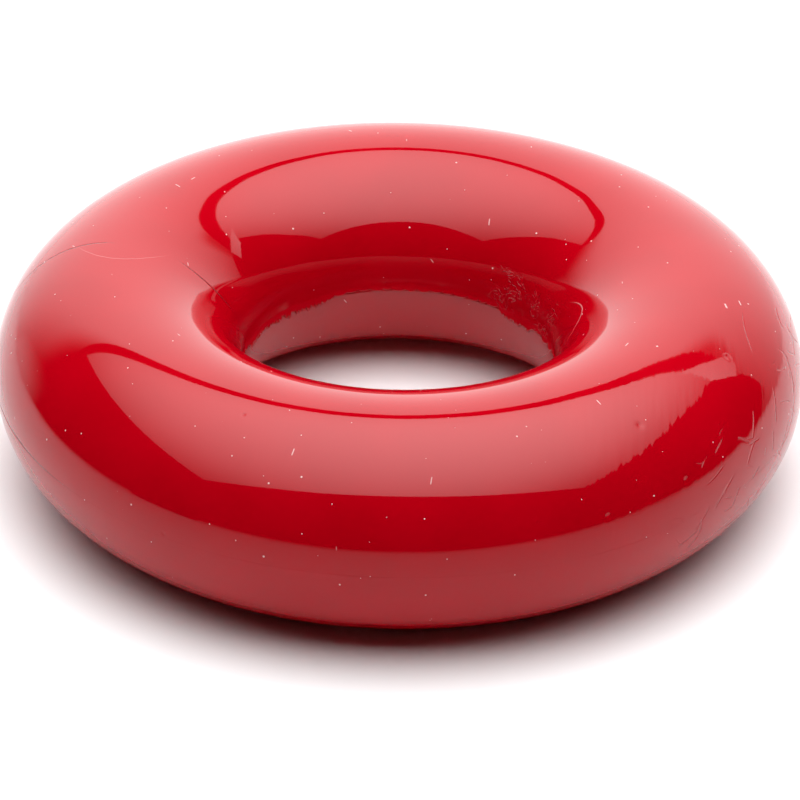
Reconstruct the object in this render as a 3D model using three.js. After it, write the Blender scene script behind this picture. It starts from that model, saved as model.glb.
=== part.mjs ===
// A thick solid ring of soft glossy rubber: two moulded half-rings that meet at a seam round the tube.
// The tube's section is an oval, a little wider than it is tall.
// Millimetres, +Z up. The origin is the centre of the circle that the ring rests on.
import * as THREE from 'three';

// Driving dimensions
const OUTER_DIAMETER = 70;
const HOLE_DIAMETER = 27.4; // of the oval section itself, without the flash
const SECTION_HEIGHT = 19.2; // of the oval section, before its weight presses the land flat
const SEAM_EDGE = 0.1; // both halves' outer edges are broken by this much, which leaves a fine groove
const FLASH_HEIGHT = 0.12; // trimmed flash stands this far into the hole, on the upper half's lower edge
const FLASH_WIDTH = 1; // and fades into the oval section over this height
const LAND_WIDTH = 3; // flat ring underneath, where the tube is pressed flat by its weight

// Facets
const STEPS_AROUND = 96; // round the whole ring
const UPPER_STEPS = 19; // over the upper half's section, down to the flash
const FLASH_STEPS = 3; // across the flash
const LOWER_STEPS = 9; // round each side of the lower half's section, from the seam to the flat

// Worked out from the driving dimensions. Angles go round the oval, 0 outwards and 90 degrees up.
const HALF_WIDTH = (OUTER_DIAMETER - HOLE_DIAMETER) / 4;
const HALF_HEIGHT = SECTION_HEIGHT / 2;
const RING_RADIUS = OUTER_DIAMETER / 2 - HALF_WIDTH; // axis to the middle of the tube
const LAND_ANGLE = Math.asin(LAND_WIDTH / 2 / HALF_WIDTH); // either side of the lowest point
const SEAM_HEIGHT = HALF_HEIGHT * Math.cos(LAND_ANGLE); // resting plane to the middle of the tube, where the seam is
const EDGE_ANGLE = SEAM_EDGE / HALF_HEIGHT;
const FLASH_START = Math.PI - FLASH_WIDTH / HALF_HEIGHT;
const BOTTOM = 1.5 * Math.PI;

// A point of the section as (distance from the ring's axis, height), proud of the oval or inside it
function sectionPoint(angle, proud = 0) {
  const across = RING_RADIUS + (HALF_WIDTH + proud) * Math.cos(angle);
  return new THREE.Vector2(across, SEAM_HEIGHT + (HALF_HEIGHT + proud) * Math.sin(angle));
}

// Points of the oval section from one angle to another, both ends included
function arc(from, to, steps) {
  const points = [];
  for (let i = 0; i <= steps; i++) points.push(sectionPoint(from + (to - from) * i / steps));
  return points;
}

// The flash swells out of the hole's wall and ends in a crest at the seam
function flash() {
  const points = [];
  for (let i = 1; i <= FLASH_STEPS; i++) {
    const share = i / FLASH_STEPS;
    const angle = FLASH_START + (Math.PI - FLASH_START) * share;
    points.push(sectionPoint(angle, FLASH_HEIGHT * share * share));
  }
  return points;
}

// Where a half's outer side meets the seam, inside its broken edge
function seamEdge() {
  return new THREE.Vector2(sectionPoint(0).x - SEAM_EDGE, SEAM_HEIGHT);
}

// The upper half's section: from the outer seam, over the top, down the hole's side to the flash
function upperSection() {
  return [seamEdge(), ...arc(EDGE_ANGLE, FLASH_START, UPPER_STEPS), ...flash()];
}

// The lower half's section: down the hole's side, flat across the land, and up to the outer seam
function lowerSection() {
  const holeSide = arc(Math.PI, BOTTOM - LAND_ANGLE, LOWER_STEPS);
  const outside = arc(BOTTOM + LAND_ANGLE, 2 * Math.PI - EDGE_ANGLE, LOWER_STEPS);
  return [...holeSide, ...outside, seamEdge()];
}

// A closed section turned about the ring's axis; the straight closing line is the flat seam face
function halfRing(name, section) {
  const outline = [...section, section[0].clone()];
  const geometry = new THREE.LatheGeometry(outline, STEPS_AROUND);
  geometry.rotateX(Math.PI / 2); // the lathe turns about Y, the ring about Z
  const mesh = new THREE.Mesh(geometry, rubber());
  mesh.name = name;
  return mesh;
}

// Glossy, deep red, slightly soft rubber
function rubber() {
  return new THREE.MeshStandardMaterial({ color: 0xb00010, roughness: 0.08, metalness: 0 });
}

const ring = new THREE.Group();
ring.name = 'ring';
ring.add(halfRing('upper_half', upperSection()));
ring.add(halfRing('lower_half', lowerSection()));

export default ring;
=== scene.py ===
"""Looks of the moulded rubber ring: two glossy red half-rings on a pale floor under a soft lamp."""

import math

import bpy
import numpy as np
from mathutils import Matrix, Vector

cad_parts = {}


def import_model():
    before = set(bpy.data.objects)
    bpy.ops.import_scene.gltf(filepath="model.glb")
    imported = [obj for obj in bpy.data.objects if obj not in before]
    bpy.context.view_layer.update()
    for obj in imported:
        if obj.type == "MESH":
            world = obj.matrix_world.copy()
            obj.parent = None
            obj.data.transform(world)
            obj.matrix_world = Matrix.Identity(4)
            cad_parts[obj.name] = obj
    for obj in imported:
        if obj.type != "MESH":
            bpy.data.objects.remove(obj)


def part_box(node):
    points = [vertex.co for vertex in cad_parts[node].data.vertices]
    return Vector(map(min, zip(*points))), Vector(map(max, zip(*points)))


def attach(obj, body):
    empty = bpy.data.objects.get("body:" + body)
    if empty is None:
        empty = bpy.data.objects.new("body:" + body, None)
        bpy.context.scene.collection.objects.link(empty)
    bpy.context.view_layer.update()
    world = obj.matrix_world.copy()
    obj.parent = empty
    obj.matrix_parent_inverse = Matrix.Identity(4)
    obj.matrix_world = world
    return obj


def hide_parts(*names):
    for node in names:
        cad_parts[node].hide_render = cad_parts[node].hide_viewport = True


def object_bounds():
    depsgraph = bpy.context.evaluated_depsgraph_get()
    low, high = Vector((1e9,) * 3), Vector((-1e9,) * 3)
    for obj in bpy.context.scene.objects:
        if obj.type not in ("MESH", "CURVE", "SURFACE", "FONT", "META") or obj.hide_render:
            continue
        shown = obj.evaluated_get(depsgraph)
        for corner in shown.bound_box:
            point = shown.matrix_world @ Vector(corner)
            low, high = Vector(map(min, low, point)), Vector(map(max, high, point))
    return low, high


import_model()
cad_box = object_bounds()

# ---- the ring's size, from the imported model, in metres ----
MM = 0.001
OUTER_RADIUS = (cad_box[1].x - cad_box[0].x) / 2
HALF_WIDTH = OUTER_RADIUS * 10.65 / 35  # of the oval section
HALF_HEIGHT = OUTER_RADIUS * 9.6 / 35
RING = OUTER_RADIUS - HALF_WIDTH  # axis to the middle of the section
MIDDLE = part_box("upper_half")[0].z  # floor to the seam, which is at the section's middle
LAND_ANGLE = math.acos(MIDDLE / HALF_HEIGHT)  # the flat underneath, either side of straight down

# Angles round the section: 0 at the outer seam, 90 degrees at the top, 180 at the seam in the hole.
INNER_SEAM = math.pi
BOTTOM = 1.5 * math.pi
STEPS_AROUND = 1536
CALM_WIDTH = 2 * MM  # beside each seam and the flat, where the unevenness of the gloss dies away

# ---- camera, in ring radii from the middle of the ring at seam height ----
CAMERA_ELEVATION = math.radians(29.757)
CAMERA_DISTANCE = 18.264
CAMERA_LENS = 230.49  # mm, for a sensor SENSOR_WIDTH mm wide
SENSOR_WIDTH = 36
CAMERA_TURN = (-0.00724, -0.00028, 0.01471)  # tilt, pan and roll off the straight aim, in radians

# ---- colours of the rubber and its marks, and how far each mark stands up from the skin, in mm ----
DEEP_RED, LIGHTER_RED = (0.35, 0.0, 0.0045, 1), (0.37, 0.0, 0.005, 1)
# the second colour on the next line is painted shade, darkening the outer seam's groove
HAIR_DARK, SEAM_PAINTED_SHADE = (0.06, 0.0, 0.002, 1), (0.03, 0.0, 0.001, 1)
SCRAPED_PINK, DUST_PINK = (0.8, 0.35, 0.35, 1), (0.85, 0.62, 0.6, 1)
RUBBER_IOR = 1.41
SMOOTHEST, DULLEST = 0.03, 0.045  # roughness of the clean gloss
MARK_ROUGHNESS = 0.3
SCRATCH_HEIGHT, HAIR_HEIGHT, PALE_ARC_HEIGHT, GOUGE_HEIGHT = -0.036, -0.03, 0.005, 0.03
CURL_HEIGHT, PIT_HEIGHT, DUST_HEIGHT, STREAK_HEIGHT = 0.035, -0.05, 0.02, 0.011


# ---- small helpers ----
def link(obj):
    bpy.context.scene.collection.objects.link(obj)
    return obj


def place(point):
    """A point given in ring radii from the ring's middle at seam height, in metres in the row frame."""
    return Vector(point) * RING + Vector((0, 0, MIDDLE))


def skin_point(around, over):
    """The point of the smooth skin at angles round the ring and round the section, in degrees."""
    around, over = math.radians(around), math.radians(over)
    radius = RING + HALF_WIDTH * math.cos(over)
    height = MIDDLE + HALF_HEIGHT * math.sin(over)
    return Vector((radius * math.cos(around), radius * math.sin(around), height))


def skin_normal(around, over):
    """The way that the smooth skin faces at the same two angles."""
    around, over = math.radians(around), math.radians(over)
    outwards, upwards = math.cos(over) / HALF_WIDTH, math.sin(over) / HALF_HEIGHT
    return Vector((outwards * math.cos(around), outwards * math.sin(around), upwards)).normalized()


class Nodes:
    """A material's node tree, with one short call for each kind of node."""

    def __init__(self, name):
        self.material = bpy.data.materials.new(name)
        self.material.use_nodes = True
        self.tree = self.material.node_tree
        self.tree.nodes.clear()
        self.output = self.tree.nodes.new("ShaderNodeOutputMaterial")

    def add(self, kind, inputs=None, **settings):
        node = self.tree.nodes.new("ShaderNode" + kind)
        for key, value in settings.items():
            setattr(node, key, value)
        for key, value in (inputs or {}).items():
            self.put(value, node.inputs[key])
        return node

    def put(self, value, socket):
        if isinstance(value, bpy.types.NodeSocket):
            self.tree.links.new(value, socket)
        else:
            socket.default_value = value

    def math(self, operation, *values):
        node = self.add("Math", operation=operation)
        for socket, value in zip(node.inputs, values):
            self.put(value, socket)
        return node.outputs[0]

    def times(self, first, *others):
        for other in others:
            first = self.math("MULTIPLY", first, other)
        return first

    def plus(self, first, *others):
        for other in others:
            first = self.math("ADD", first, other)
        return first

    def vector(self, operation, *values):
        node = self.add("VectorMath", operation=operation)
        for socket, value in zip(node.inputs, values):
            self.put(value, socket)
        return node.outputs["Value" if operation in ("LENGTH", "DOT_PRODUCT", "DISTANCE") else "Vector"]

    def object_point(self):
        return self.add("TexCoord").outputs["Object"]

    def split(self, vector):
        return self.add("SeparateXYZ", {0: vector}).outputs

    def steps(self, value, low, high, start=0.0, end=1.0):
        """A smooth change from start to end as value goes from low to high."""
        inputs = {0: value, 1: low, 2: high, 3: start, 4: end}
        return self.add("MapRange", inputs, interpolation_type="SMOOTHSTEP").outputs[0]

    def hump(self, value, width):
        """1 where value is 0, fading to 0 at a few widths away."""
        scaled = self.math("DIVIDE", value, width)
        return self.math("EXPONENT", self.times(scaled, scaled, -1.0))

    def noise(self, point, size, detail, roughness=0.5, distortion=0.0):
        """Smooth random values from 0 to 1; size is about how far apart they change, in metres."""
        inputs = {"Vector": point, "Scale": 1 / size, "Detail": detail}
        inputs |= {"Roughness": roughness, "Distortion": distortion}
        return self.add("TexNoise", inputs).outputs["Fac"]

    def mix(self, share, first, second):
        node = self.add("Mix", data_type="RGBA")
        for name, value in (("Factor_Float", share), ("A_Color", first), ("B_Color", second)):
            self.put(value, next(socket for socket in node.inputs if socket.identifier == name))
        return next(socket for socket in node.outputs if socket.identifier == "Result_Color")

    def finish(self, shader):
        self.tree.links.new(shader, self.output.inputs["Surface"])
        return self.material


# ---- the skin's shape ----
def waves(theta, phi, seed, count, longest, shortest, height):
    """Gentle unevenness of the moulded gloss: a sum of waves that closes on itself round the ring."""
    random = np.random.default_rng(seed)
    total = np.zeros(np.broadcast(theta, phi).shape)
    for _ in range(count):
        length = longest * (shortest / longest) ** random.random()
        heading = random.uniform(0, 2 * math.pi)
        around = round(2 * math.pi * RING / length * math.cos(heading))
        over = 2 * math.pi * HALF_WIDTH / length * math.sin(heading)
        total += np.sin(around * theta + over * phi + random.uniform(0, 2 * math.pi))
    return total * height / math.sqrt(count)


def periodic_noise(theta, seed, lowest, highest):
    """Smooth random numbers round the ring, about -1 to 1, with lowest to highest waves per turn."""
    random = np.random.default_rng(seed)
    total = np.zeros_like(theta)
    orders = np.unique(np.geomspace(lowest, highest, 24).astype(int))
    for order in orders:
        total += np.sin(order * theta + random.uniform(0, 2 * math.pi))
    return total / math.sqrt(len(orders) / 2)


def stretch(theta, middle, half):
    """1 over a stretch of the ring, in degrees, fading to 0 outside it."""
    edge, sharpness = math.cos(math.radians(half)), 6
    inside = (np.cos(theta - math.radians(middle)) - edge) / (1 - edge)
    return 0.5 + 0.5 * np.tanh(sharpness * inside)


def bumps(theta, seed, pitch):
    """A row of rounded teeth of uneven size round the hole: 0 between them, up to 1 at a tip."""
    random = np.random.default_rng(seed)
    count = round(2 * math.pi * (RING - HALF_WIDTH) / pitch)
    unevenly = 0.22  # of a tooth
    edges = (np.arange(count) + random.uniform(-unevenly, unevenly, count)) * 2 * math.pi / count
    edges = np.sort(edges)
    size = random.uniform(0.35, 1.0, count)
    index = np.searchsorted(edges, theta, side="right") - 1
    start = edges[index % count] - np.where(index < 0, 2 * math.pi, 0)
    after = edges[(index + 1) % count] + np.where(index + 1 >= count, 2 * math.pi, 0)
    share = (theta - start) / (after - start)
    return np.sqrt(np.clip(np.sin(math.pi * share), 0, 1)) * size[index % count]


def flash_beads(theta):
    """The round beads along the flash."""
    return bumps(theta, 11, 1.1 * MM)


def combed_stretch(theta):
    """1 where the flash is trimmed to a comb of fine teeth, at the back left of the hole."""
    return stretch(theta, 142, 24)


def lip_drop(theta):
    """How far the lower lip of the flash hangs below the seam: beads, a comb, and a torn stretch."""
    beads = flash_beads(theta)
    comb = bumps(theta, 12, 0.43 * MM)
    combed = combed_stretch(theta)
    torn = stretch(theta, 40, 9)
    ragged = 0.5 + 0.5 * periodic_noise(theta, 13, 5, 60)
    drop = 0.04 + 0.05 * ragged + (1 - combed) * (0.33 * beads + 0.06 * comb)
    return MM * (drop + combed * (0.2 + 0.75 * comb) + torn * (0.25 + 0.35 * comb + 0.2 * ragged))


def groove(distance, theta):
    """How far the surface dips beside the outer seam: a broken hairline, plainest on the left."""
    plain = np.clip(0.25 + 0.35 * periodic_noise(theta, 14, 3, 60), 0, 1)
    depth = MM * (0.012 * plain + 0.03 * stretch(theta, -172, 20))
    width = 0.07 * MM
    return -depth * np.exp(-((distance / width) ** 2))


def unevenness(theta, phi, seed):
    """The slight waviness of the gloss, with plainer dents on the right flank."""
    flank = stretch(theta, -28, 30) * np.clip(np.cos(phi - math.radians(25)), 0, 1) ** 2
    dents = waves(theta, phi, seed + 1, 30, 9 * MM, 3.5 * MM, 0.006 * MM)
    return waves(theta, phi, seed, 40, 12 * MM, 4 * MM, 0.0022 * MM) + flank * dents


def ring_points(theta, phi, proud):
    """Points at angles theta round the ring and phi round the section, standing proud of the oval."""
    outwards, upwards = np.cos(phi) / HALF_WIDTH, np.sin(phi) / HALF_HEIGHT
    length = np.hypot(outwards, upwards)
    across = RING + HALF_WIDTH * np.cos(phi) + proud * outwards / length
    up = MIDDLE + HALF_HEIGHT * np.sin(phi) + proud * upwards / length
    return np.stack([across * np.cos(theta), across * np.sin(theta), up + 0 * theta], axis=-1)


def eased(start, end, count, fine_start, fine_end):
    """Angles from start to end, count steps, closer together at the ends asked for."""
    share, closeness = np.linspace(0, 1, count + 1), 0.97
    if fine_start and fine_end:
        share = share - np.sin(2 * math.pi * share) / (2 * math.pi) * closeness
    elif fine_start:
        share = share - np.sin(math.pi * share) / math.pi * closeness
    return start + (end - start) * share


def upper_surface():
    """The upper half's skin as a grid: outer seam, over the top, down to the flash and its lip."""
    theta = np.linspace(0, 2 * math.pi, STEPS_AROUND, endpoint=False)[None, :]
    phi = eased(0, INNER_SEAM, 54, True, True)[:, None]
    flash_height, flash_width = 0.06 * MM, 0.8 * MM
    bead_height, bead_width = 0.04 * MM, 0.45 * MM
    from_outer = phi * HALF_HEIGHT
    from_inner = (INNER_SEAM - phi) * HALF_HEIGHT
    crest = flash_height * (0.85 + 0.15 * periodic_noise(theta, 15, 4, 50))
    beads = flash_beads(theta) * (1 - combed_stretch(theta))
    near = np.clip(1 - from_inner / flash_width, 0, 1)
    nearest = np.clip(1 - from_inner / bead_width, 0, 1)
    swell = crest * near**2 + bead_height * beads * nearest**2
    calm = np.clip(np.minimum(from_outer, from_inner) / CALM_WIDTH, 0, 1)
    raised = groove(from_outer, theta) + swell + unevenness(theta, phi, 21) * calm
    lip = lip_rows(theta, swell[-1:])
    clear = 0.002 * MM  # of the lower half, where the lip is tucked back to the seam
    tuck = ring_points(theta, np.full_like(theta, INNER_SEAM), np.full_like(theta, clear))
    return np.concatenate([ring_points(theta, phi, raised), *lip, tuck])


def lip_rows(theta, crest):
    """Rows of points down the lip's face, round its tip and up behind it; crest is its root's height."""
    drop = lip_drop(theta)
    slope, clear = 0.3, 0.004 * MM
    rows = []
    for fall, thickness in ((0.45, 1.0), (0.9, 1.0), (1.0, 0.9), (1.0, 0.45), (0.93, 0.03)):
        angle = INNER_SEAM + drop * fall / HALF_HEIGHT
        rows.append(ring_points(theta, angle, (crest + slope * drop * fall) * thickness + clear))
    return rows


def lower_surface():
    """The lower half's skin as a grid: down the hole, flat across the land, up to the outer seam."""
    theta = np.linspace(0, 2 * math.pi, STEPS_AROUND, endpoint=False)[None, :]
    inside = eased(INNER_SEAM, BOTTOM - LAND_ANGLE, 26, False, False)
    outside = eased(2 * math.pi, BOTTOM + LAND_ANGLE, 30, True, False)[::-1]
    phi = np.concatenate([inside, outside])[:, None]
    from_outer = (2 * math.pi - phi) * HALF_HEIGHT
    from_inner = (phi - INNER_SEAM) * HALF_HEIGHT
    from_land = np.abs(np.abs(phi - BOTTOM) - LAND_ANGLE) * HALF_WIDTH
    from_edge = np.minimum(np.minimum(from_outer, from_inner), from_land)
    calm = np.clip(from_edge / CALM_WIDTH, 0, 1)
    return ring_points(theta, phi, groove(from_outer, theta) + unevenness(theta, phi, 23) * calm)


def mesh_from_grid(name, points):
    """A closed half-ring: the grid of its skin, wrapped round, and the seam face between its edges."""
    rows, columns = points.shape[:2]
    index = np.arange(rows * columns).reshape(rows, columns)
    below, above = index, np.roll(index, -1, axis=0)
    corners = [below, np.roll(below, -1, axis=1), np.roll(above, -1, axis=1), above]
    quads = np.stack(corners, axis=-1).reshape(-1, 4)
    mesh = bpy.data.meshes.new(name)
    mesh.vertices.add(rows * columns)
    mesh.vertices.foreach_set("co", points.astype(np.float32).ravel())
    mesh.loops.add(quads.size)
    mesh.loops.foreach_set("vertex_index", quads.astype(np.int32).ravel())
    mesh.polygons.add(len(quads))
    mesh.polygons.foreach_set("loop_start", np.arange(0, quads.size, 4, dtype=np.int32))
    mesh.update(calc_edges=True)
    smooth = np.ones(len(quads), bool)
    smooth[-columns:] = False  # the seam face
    mesh.polygons.foreach_set("use_smooth", smooth)
    mesh.validate()
    return mesh


def half_ring(name, node, points, material):
    piece = link(bpy.data.objects.new(name, mesh_from_grid(name, points)))
    piece.data.materials.append(material)
    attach(piece, "root")
    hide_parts(node)
    return piece


# ---- the rubber's marks: most functions give a mask that is 1 on the mark and 0 off it ----
def region(n, skin, around, over, half_around, half_over):
    """1 inside an area of the skin, given in degrees, fading to 0 outside it."""
    mask = 1.0
    for angle, middle, half in ((skin["around"], around, half_around), (skin["over"], over, half_over)):
        nearness = n.math("COSINE", n.math("SUBTRACT", angle, math.radians(middle)))
        low, high = math.cos(math.radians(half)), math.cos(math.radians(half * 0.6))
        mask = n.times(n.steps(nearness, low, high), mask)
    return mask


def cells(n, point, size, shift):
    """Random 3-D cells: the point's place in its own cell, and the cell's three random numbers."""
    moved = n.vector("ADD", point, (shift * MM, 2 * shift * MM, -shift * MM))
    pattern = n.add("TexVoronoi", {"Vector": moved, "Scale": 1 / size}, voronoi_dimensions="3D")
    return n.vector("SUBTRACT", moved, pattern.outputs["Position"]), pattern.outputs["Color"]


def short_line(n, local, colour, reach, width, lean=(0.0, 0.0, 0.0)):
    """A short straight mark in each cell, square to its heading; lean turns the headings one way."""
    heading = n.vector("ADD", n.vector("SUBTRACT", colour, (0.5, 0.5, 0.5)), lean)
    aside = n.vector("DOT_PRODUCT", local, n.vector("NORMALIZE", heading))
    short = n.steps(n.vector("LENGTH", local), 0.6 * reach, reach, 1.0, 0.0)
    return n.times(n.hump(aside, width), short)


def scuffs(n, point, size, reach, width, share, shift):
    """Scattered short scratches, most of them round the ring; share is the part of cells with one."""
    local, colour = cells(n, point, size, shift)
    line = short_line(n, local, colour, reach, width, (0.0, 0.0, 0.45))
    return n.times(line, n.math("LESS_THAN", n.split(colour)[0], share))


def dust_and_lint(n, point):
    """Scattered specks of uneven size, and here and there a short fibre."""
    local, colour = cells(n, point, 1.25 * MM, 1)
    red, green, _ = n.split(colour)
    radius = n.math("MULTIPLY_ADD", n.times(green, green), 0.07 * MM, 0.04 * MM)
    speck = n.steps(n.math("DIVIDE", n.vector("LENGTH", local), radius), 0.6, 1.0, 1.0, 0.0)
    fibre = short_line(n, local, colour, 0.38 * MM, 0.035 * MM)
    specks = n.times(speck, n.math("LESS_THAN", red, 0.8))
    return n.math("MAXIMUM", specks, n.times(fibre, n.math("GREATER_THAN", red, 0.985)))


def line_mark(n, point, start, end, bow, width):
    """One long fine mark over the skin, from start to end in degrees round the ring and the section.

    bow is how far it bends aside in its middle, and width how wide it is, in mm.
    """
    first, last = skin_point(*start), skin_point(*end)
    half = (last - first).length / 2
    along = (last - first).normalized()
    aside = along.cross(skin_normal((start[0] + end[0]) / 2, (start[1] + end[1]) / 2)).normalized()
    inwards = along.cross(aside)
    middle = (first + last) / 2 + aside * bow * MM
    depth = 0.5 * half + 2 * MM  # enough to reach the curved skin all along the mark
    turn = Matrix((along, aside, inwards)).transposed().to_euler()
    inputs = {"Vector": point, "Location": middle, "Rotation": turn, "Scale": (half, width * MM, depth)}
    local = n.add("Mapping", inputs, vector_type="TEXTURE").outputs[0]
    run, off, deep = n.split(local)
    run_2 = n.times(run, run)
    run_4 = n.times(run_2, run_2)
    bowed = n.math("MULTIPLY_ADD", run_2, bow / width, off)
    away = n.math("MULTIPLY_ADD", bowed, bowed, n.times(run_4, run_4))
    return n.math("POWER", 1 / math.e, n.math("MULTIPLY_ADD", deep, deep, away))


def dimple(n, point, around, over, radius):
    """One small round pit, at two angles in degrees, with its radius in mm."""
    away = n.vector("DISTANCE", point, tuple(skin_point(around, over)))
    return n.hump(away, radius * MM)


def scratches(n, point, skin):
    """The scuffs on the outer right flank: short ones by area, and the longest one by one."""
    wander = n.times(n.math("SUBTRACT", n.noise(point, 3 * MM, 0.0), 0.5), 1.6 * MM)
    bent = n.vector("ADD", point, wander)
    flank = region(n, skin, -20, 2, 34, 38)
    short_ones = scuffs(n, bent, 2.1 * MM, 1.35 * MM, 0.06 * MM, 0.8, 0)
    long_ones = [((-10, 60), (-18, 49), 0.3, 0.06), ((-1, 41), (-5, 35), 0.3, 0.09),
                 ((-3, 33), (-2, 20), 0.4, 0.09), ((-11, 30), (-22, -1), -1.2, 0.09),
                 ((-30, 18), (-33, 10), 0.1, 0.08), ((-38, 7), (-41, -2), 0.1, 0.09),
                 ((-27, -11), (-30, -16), 0.1, 0.08), ((-44, -3), (-45, -20), -0.5, 0.07)]
    drawn = [line_mark(n, point, *mark) for mark in long_ones]
    return n.plus(n.times(short_ones, flank), *drawn)


def hair_line(n, point):
    """A hair-fine line that runs over the tube on the left, with a second, paler arc beside it."""
    dark = [line_mark(n, point, (175, 30), (172, 84), -0.5, 0.06),
            line_mark(n, point, (173, 120), (173, 155), 0.4, 0.06)]
    pale = line_mark(n, point, (173, 70), (174, 110), 2.2, 0.035)
    return n.plus(*dark), pale


def pits(n, point):
    """The moulding's few blisters and pits."""
    places = [(-49.6, 54, 0.32), (-60, 18, 0.25), (-46, 21, 0.28), (-123, 2, 0.2), (-117, 71, 0.15),
              (-24, 57, 0.25)]
    return n.plus(*[dimple(n, point, *spot) for spot in places])


def chatter(n, point, skin):
    """Curly tool marks beside the seam in the hole, on the right."""
    curls = n.noise(point, 1.2 * MM, 0.0, distortion=2.5)
    ridge = n.hump(n.math("SUBTRACT", curls, 0.5), 0.035)
    patches = n.steps(n.noise(point, 2.2 * MM, 0.0), 0.45, 0.55)
    area = region(n, skin, 34, 169, 24, 13)
    return n.times(ridge, patches, area)


def streaks(n, point, skin):
    """Fine lines across the tube on the right, which comb out the edges of reflections."""
    lane = n.vector("MULTIPLY", point, (1, 0.12, 0.12))
    lines = n.noise(lane, 0.5 * MM, 1.0, roughness=0.6)
    return n.times(lines, region(n, skin, -38, 50, 36, 60))


def seam_shade_line(n, skin, z):
    """The outer seam: painted shade along its groove, a dark hairline where it shows on the left."""
    hairline = n.hump(n.math("SUBTRACT", z, MIDDLE), 0.07 * MM)
    return n.times(hairline, region(n, skin, -172, 0, 34, 30))


def rubber():
    """Deep red glossy rubber with its scuffs, pits, hair line, dust and lint, and painted shade along
    the outer seam.
    """
    n = Nodes("red_rubber")
    point = n.object_point()
    x, y, z = n.split(point)
    radius = n.vector("LENGTH", n.vector("MULTIPLY", point, (1, 1, 0)))
    across = n.math("DIVIDE", n.math("SUBTRACT", radius, RING), HALF_WIDTH)
    up = n.math("DIVIDE", n.math("SUBTRACT", z, MIDDLE), HALF_HEIGHT)
    skin = {"around": n.math("ARCTAN2", y, x), "over": n.math("ARCTAN2", up, across)}

    scratch = scratches(n, point, skin)
    dark_hair, pale_arc = hair_line(n, point)
    gouge = line_mark(n, point, (9, 149), (-11, 157), -1.6, 0.07)
    curls = chatter(n, point, skin)
    cloudy = n.noise(point, 7 * MM, 1.0)
    spots = dust_and_lint(n, point)

    base = n.mix(n.steps(cloudy, 0.35, 0.65), DEEP_RED, LIGHTER_RED)
    base = n.mix(n.times(dark_hair, 0.85), base, HAIR_DARK)
    # painted shade along the outer seam's groove, strongest where it shows on the left
    base = n.mix(n.times(seam_shade_line(n, skin, z), 0.55), base, SEAM_PAINTED_SHADE)
    base = n.mix(n.times(n.plus(gouge, pale_arc), 0.3), base, SCRAPED_PINK)
    base = n.mix(n.times(spots, 0.75), base, DUST_PINK)

    marks = n.math("MAXIMUM", n.math("MAXIMUM", scratch, spots), n.plus(dark_hair, gouge))
    clean = n.steps(cloudy, 0.3, 0.7, SMOOTHEST, DULLEST)
    rough = n.plus(n.times(n.math("MINIMUM", marks, 1.0), MARK_ROUGHNESS), clean)

    parts = ((scratch, SCRATCH_HEIGHT), (dark_hair, HAIR_HEIGHT), (pale_arc, PALE_ARC_HEIGHT),
             (gouge, GOUGE_HEIGHT), (curls, CURL_HEIGHT), (pits(n, point), PIT_HEIGHT),
             (spots, DUST_HEIGHT), (streaks(n, point, skin), STREAK_HEIGHT))
    height = n.plus(*[n.times(part, size * MM) for part, size in parts])
    bump = n.add("Bump", {"Strength": 1.0, "Distance": 1.0, "Height": height})

    inputs = {"Base Color": base, "Roughness": rough, "Normal": bump.outputs[0]}
    shader = n.add("BsdfPrincipled", inputs)
    shader.inputs["IOR"].default_value = RUBBER_IOR
    return n.finish(shader.outputs[0])


# ---- floor, lamp, backdrop and camera ----
def flat_mesh(name, corners, material, camera=True):
    mesh = bpy.data.meshes.new(name)
    mesh.from_pydata([tuple(c) for c in corners], [], [tuple(range(len(corners)))])
    mesh.materials.append(material)
    obj = link(bpy.data.objects.new(name, mesh))
    obj.visible_camera = camera
    return obj


def glow(n, strength):
    """A material that shines white with the given strength."""
    return n.finish(n.add("Emission", {"Strength": strength}).outputs[0])


def in_radii(n):
    """The coordinates of the shaded point, in ring radii."""
    return n.split(n.vector("DIVIDE", n.object_point(), (RING, RING, RING)))


def soft_lamp():
    """The big soft panel overhead, a little tilted, brightest near its middle."""
    across = Vector((0.9985, -0.0429, 0.0335))
    along = Vector((0.0397, 0.9951, 0.0905))
    centre = (0.833, 1.072, 11.1)
    half_width, half_length = 13.0 * RING, 9.53 * RING
    brightest = 4.95
    corners = [(-half_width, -half_length, 0), (half_width, -half_length, 0),
               (half_width, half_length, 0), (-half_width, half_length, 0)]
    n = Nodes("lamp_cloth")
    x, y, _ = n.split(n.object_point())
    beside = n.hump(x, 11.4 * RING)
    before = n.hump(n.math("SUBTRACT", y, 0.8 * RING), 12.3 * RING)
    strength = n.times(beside, before, brightest)
    lamp = flat_mesh("soft_lamp", corners, glow(n, strength), camera=False)
    turn = Matrix((across, along, across.cross(along))).transposed()
    lamp.matrix_world = Matrix.Translation(place(centre)) @ turn.to_4x4()


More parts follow.
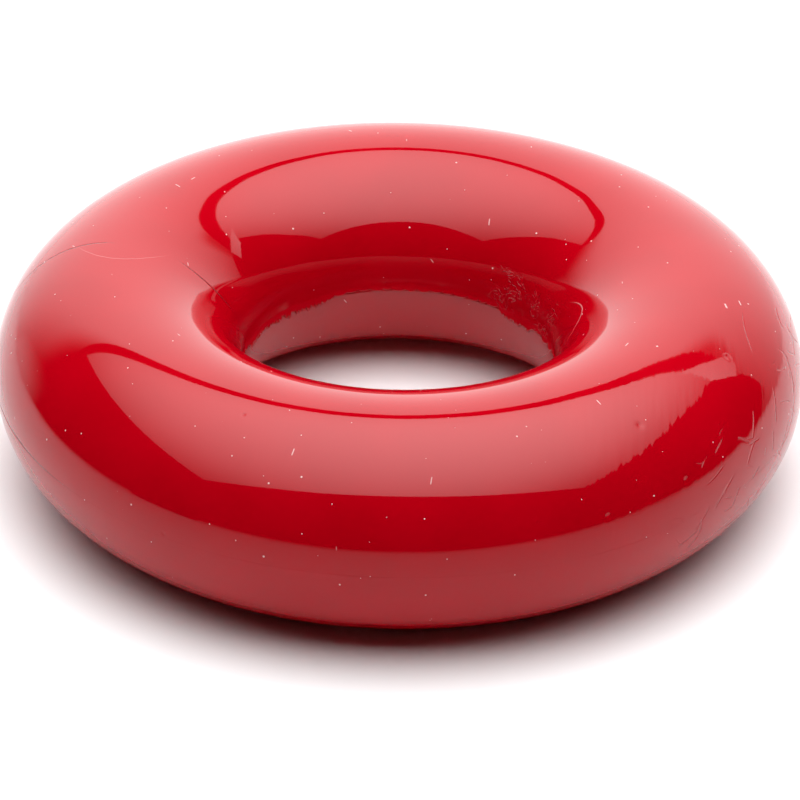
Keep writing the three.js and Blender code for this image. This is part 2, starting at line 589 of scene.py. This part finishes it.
def backdrop():
    """The pale sheet behind the ring, with two darker corners and a dim skirt at its left foot."""
    back = 8.77
    outline = [(-21, 0), (19.9, 0), (17, 1), (14.8, 2.2), (13.1, 8.51), (-21, 8.51)]
    corners = [place((x, back, z)) for x, z in outline]
    corners[0].z = corners[1].z = 0
    n = Nodes("backdrop_paper")
    x, _, z = in_radii(n)
    rise = n.math("MULTIPLY_ADD", z, 0.06, 1.78)
    sheet = n.times(n.hump(n.plus(x, 1.0), 12.5), rise, n.steps(x, -15.0, -5.5))
    leftwards = n.math("MAXIMUM", n.math("SUBTRACT", -4.0, x), 0.0)
    left_corner = n.steps(n.math("MULTIPLY_ADD", leftwards, 0.5, z), 8.2, 12.4, 1.0, 0.0)
    right_corner = n.times(n.steps(x, 4.0, 7.3), n.steps(z, 6.8, 8.6), -0.8)
    body = n.times(sheet, left_corner, n.plus(right_corner, 1.0))
    skirt_ends = n.times(n.steps(x, -21.0, -10.5), n.steps(x, -10.0, -6.0, 1.0, 0.0))
    skirt = n.times(n.steps(z, 0.0, 5.5, 1.0, 0.0), skirt_ends)
    strength = n.math("MAXIMUM", body, skirt)
    flat_mesh("backdrop", corners, glow(n, strength), camera=False)


def side_card():
    """The pale card on the right, under the lamp's far corner, brighter towards its top."""
    back = 4
    outline = [(5.3, 3.8), (7.35, 3.8), (7.2, 4.4), (6.85, 5.6), (4.2, 5.6), (5.0, 4.5)]
    corners = [place((x, back, z)) for x, z in outline]
    n = Nodes("card_paper")
    strength = n.math("MULTIPLY_ADD", in_radii(n)[2], 0.62, -1.15)
    flat_mesh("side_card", corners, glow(n, strength), camera=False)


def floor():
    """The pale floor, greyer in the ring's gloss and there darker towards the front, painted shade where
    the lamp falls off. Far off, the camera sees it as evenly white.
    """
    n = Nodes("floor_paper")
    path = n.add("LightPath").outputs
    camera_ray = path["Is Camera Ray"]
    # in the gloss the floor darkens towards the front: painted shade where the lamp falls off
    front_shaded_tone, back_tone = (0.55, 0.55, 0.555, 1), (0.76, 0.76, 0.765, 1)
    gloss_tone_shaded_front = n.mix(n.steps(in_radii(n)[1], -3.0, -0.5), front_shaded_tone, back_tone)
    tone = n.mix(path["Is Glossy Ray"], (0.9, 0.9, 0.905, 1), gloss_tone_shaded_front)
    paper = n.add("BsdfDiffuse", {"Color": tone}).outputs[0]
    pale = n.add("Emission", {"Strength": 1.0}).outputs[0]
    far = n.steps(n.vector("LENGTH", n.object_point()), 6 * RING, 16 * RING)
    mixed = n.add("MixShader", {0: n.times(far, camera_ray), 1: paper, 2: pale}).outputs[0]
    reach, sides = 90 * RING, 48
    turns = [2 * math.pi * i / sides for i in range(sides)]
    rim = [(reach * math.cos(turn), reach * math.sin(turn), 0) for turn in turns]
    flat_mesh("floor", rim, n.finish(mixed))


def gloss_shade_sheet():
    """A black sheet at the front left, out of the camera's view, which only the gloss shows: painted
    shade that darkens the reflected floor there.
    """
    n = Nodes("gloss_shade_black")
    dark = n.finish(n.add("BsdfDiffuse", {"Color": (0.0, 0.0, 0.0, 1)}).outputs[0])
    ends = [Vector((-8.1, -6.7, 0)), Vector((-8.9, -3.3, 0))]
    top = Vector((0, 0, 1.2))
    corners = [place(point) for point in (ends[0], ends[1], ends[1] + top, ends[0] + top)]
    corners[0].z = corners[1].z = 0
    # a black sheet standing in for shade, seen only in the gloss
    shade_sheet = flat_mesh("gloss_shade_sheet", corners, dark, camera=False)
    shade_sheet.visible_diffuse = shade_sheet.visible_shadow = False


def world():
    """A dark room, which the camera sees as pale."""
    made = bpy.data.worlds.new("room")
    made.use_nodes = True
    tree = made.node_tree
    background = tree.nodes["Background"]
    path = tree.nodes.new("ShaderNodeLightPath")
    background.inputs["Color"].default_value = (1, 1, 1, 1)
    tree.links.new(path.outputs["Is Camera Ray"], background.inputs["Strength"])
    bpy.context.scene.world = made


def camera():
    """The camera in front of the ring, looking down at it."""
    data = bpy.data.cameras.new("camera")
    data.lens, data.sensor_width = CAMERA_LENS, SENSOR_WIDTH
    data.clip_start, data.clip_end = 0.05, 20  # metres
    obj = link(bpy.data.objects.new("camera", data))
    e, (tilt, pan, roll) = CAMERA_ELEVATION, CAMERA_TURN
    location = place((0, -CAMERA_DISTANCE * math.cos(e), CAMERA_DISTANCE * math.sin(e)))
    aim = Matrix.Rotation(math.pi / 2 - e, 4, "X") @ Matrix.Rotation(pan, 4, "Y")
    aim = aim @ Matrix.Rotation(tilt, 4, "X") @ Matrix.Rotation(roll, 4, "Z")
    obj.matrix_world = Matrix.Translation(location) @ aim
    bpy.context.scene.camera = obj


camera()
world()
soft_lamp()
backdrop()
side_card()
floor()
gloss_shade_sheet()
red = rubber()
half_ring("ring_upper", "upper_half", upper_surface(), red)
half_ring("ring_lower", "lower_half", lower_surface(), red)
bpy.context.scene.view_settings.view_transform = "Standard"
